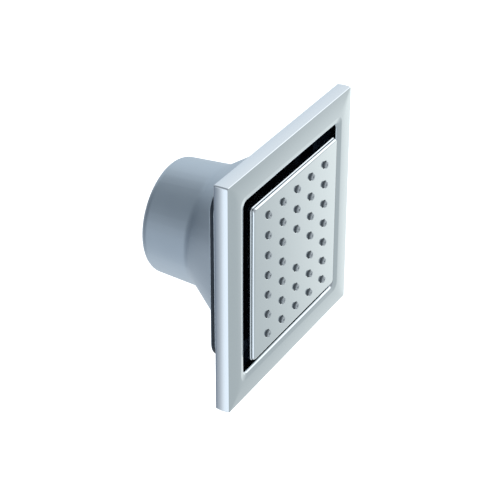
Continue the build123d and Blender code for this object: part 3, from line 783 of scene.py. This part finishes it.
def swollen(half):
    """Depth of the plate's front at a distance from the axis, rising from the rim to the ridge."""
    return plate_front - ridge_rise * (1 - ((half - ridge) / ridge_width) ** 2)


sides_of_plate = [
    (soft_square(turns, bowed(depth), plate_corner), depth, 0)
    for depth in (-0.25, -0.9, -1.7, -2.6, -3.5, -4.4, -5.4)
]
front_of_plate = [
    (soft_square(turns, half, plate_corner + corner_growth * (growth_from - half)), swollen(half), 0)
    for half in (54.4, 53.2, 51.8, 50.4, 49, 47.6, 46.4)
]
plate = ring_piece("trim_frame", turns, eased(turns, [
    (soft_square(turns, *plate_inside), 0, 0.1),
    (soft_square(turns, bowed(0) - 0.05, plate_corner), 0, 0.15),
] + sides_of_plate + [
    (soft_square(turns, bowed(plate_front), plate_corner), plate_front, 0.45),
] + front_of_plate + [
    (soft_square(turns, *roll_outer), roll_top, 2),
    (soft_square(turns, *opening), roll_inner, 1.7),
    (soft_square(turns, *opening), opening_back, 0.2),
    (soft_square(turns, *opening_inside), opening_back, 0.2),
    (soft_square(turns, *opening_inside), sheet_back, 0.2),
    (soft_square(turns, *plate_inside), sheet_back, 0.2),
]))
plate.data.materials.append(finishes["trim_chrome"])
finish_surface(plate)
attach(plate, "base")
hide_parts("trim_plate")
coat(steel, "trim_clips", "clip_rivets")

# Studio: a pale floor well below the jet, as below a fitting on a wall, and one soft surround of light.
# The floor shows white to the camera, as the photograph's ground does, and throws soft light up at the jet.
reach, level = 6, -0.32
floor_mesh = bpy.data.meshes.new("studio_floor")
floor_mesh.from_pydata(
    [(-reach, -reach, level), (reach, -reach, level), (reach, reach, level), (-reach, reach, level)],
    [], [(0, 1, 2, 3)],
)
floor = bpy.data.objects.new("studio_floor", floor_mesh)
bpy.context.scene.collection.objects.link(floor)
white_paper, tree, surface = new_material("white_paper")
tree.nodes.remove(surface)
paper = add(tree, "ShaderNodeBsdfDiffuse", values={"Color": colour("#e6e8ea")})
path = add(tree, "ShaderNodeLightPath").outputs
glow = add(
    tree, "ShaderNodeEmission", values={"Color": (1, 1, 1, 1)}, links={"Strength": path["Is Camera Ray"]}
)
sheet = add(tree, "ShaderNodeAddShader", links={0: paper.outputs["BSDF"], 1: glow.outputs["Emission"]})
tree.links.new(sheet.outputs["Shader"], tree.nodes["Material Output"].inputs["Surface"])
floor_mesh.materials.append(white_paper)
floor.visible_glossy = False

# The surround: each soft light or dark card is (direction, full within degrees, gone beyond degrees, level)
world = bpy.data.worlds.new("studio_surround")
bpy.context.scene.world = world
world.use_nodes = True
tree = world.node_tree
gaze = add(tree, "ShaderNodeTexCoord").outputs["Generated"]
base_level = (0.378, 0.4, 0.422)
soft_lights = [
    ((-0.8, 0.35, -0.1), 25, 60, (0.82, 0.87, 0.92)),
    ((0, 0.5, -0.9), 25, 60, (0.903, 0.938, 0.973)),
    ((0.2, -0.75, -0.6), 30, 60, (0.52, 0.57, 0.578)),
    ((0.75, 0.42, 0.3), 25, 55, (0.816, 0.887, 0.948)),
    ((0.96, 0, -0.285), 15, 36, (0.99, 1.05, 1.03)),
    ((0.8, 0.25, -0.55), 10, 25, (1.26, 1.31, 1.3)),
    ((0.65, 0, 0.75), 18, 40, (0.934, 0.98, 1.02)),
    ((0.75, -0.4, 0.5), 18, 36, (1.41, 1.45, 1.47)),
    ((-0.86, -0.05, -0.51), 17, 34, (1.1, 1.19, 1.28)),
    ((-0.4, 0.88, 0.28), 14, 38, (0.06, 0.08, 0.11)),
    ((-0.49, 0.78, -0.39), 10, 32, (0.241, 0.28, 0.338)),
    ((-0.5, 0.42, 0.75), 20, 50, (0.3, 0.335, 0.37)),
]
plain = add(tree, "ShaderNodeRGB")
plain.outputs["Color"].default_value = (*base_level, 1)
light_so_far = plain.outputs["Color"]
for direction, full, gone, light in soft_lights:
    aim = Vector(direction).normalized()
    toward = add(tree, "ShaderNodeVectorMath", {"operation": "DOT_PRODUCT"}, {1: aim}, {0: gaze})
    share = add(
        tree, "ShaderNodeMapRange", {"interpolation_type": "SMOOTHSTEP"},
        {"From Min": cos(radians(gone)), "From Max": cos(radians(full))}, {"Value": toward.outputs["Value"]},
    )
    light_so_far = add(
        tree, "ShaderNodeMix", {"data_type": "RGBA"}, {"B": (*light, 1)},
        {"Factor": share.outputs["Result"], "A": light_so_far},
    ).outputs["Result"]
path = add(tree, "ShaderNodeLightPath").outputs
shown = add(
    tree, "ShaderNodeMix", {"data_type": "RGBA"}, {"B": (1, 1, 1, 1)},
    {"Factor": path["Is Camera Ray"], "A": light_so_far},
)
tree.links.new(shown.outputs["Result"], tree.nodes["Background"].inputs["Color"])

# Camera: from the left, above and a long way off, where the photograph was taken from.
# Its place is given from the middle of the plate's front, and its focal length in pixels of the photograph.
azimuth, elevation, roll = radians(-60.62), radians(30.7), radians(0.1)
far, aside, above, focal = 0.7535, -0.01813, -0.0013, 1712.0
picture_width, sensor_width = 500, 36
back = Vector((sin(azimuth) * cos(elevation), -cos(azimuth) * cos(elevation), sin(elevation)))
right = Vector((0, 0, 1)).cross(back).normalized()
up = back.cross(right)
level_right = right * cos(roll) + up * sin(roll)
level_up = up * cos(roll) - right * sin(roll)
camera_data = bpy.data.cameras.new("camera")
camera_data.sensor_width = sensor_width
camera_data.lens = focal * sensor_width / picture_width
camera_data.clip_start = 0.01
camera = bpy.data.objects.new("camera", camera_data)
bpy.context.scene.collection.objects.link(camera)
spot = Vector((0, plate_front * mm, 0)) + level_right * aside + level_up * above + back * far
camera.matrix_world = Matrix.Translation(spot) @ Matrix((level_right, level_up, back)).transposed().to_4x4()
bpy.context.scene.camera = camera
bpy.context.scene.view_settings.view_transform = "Standard"
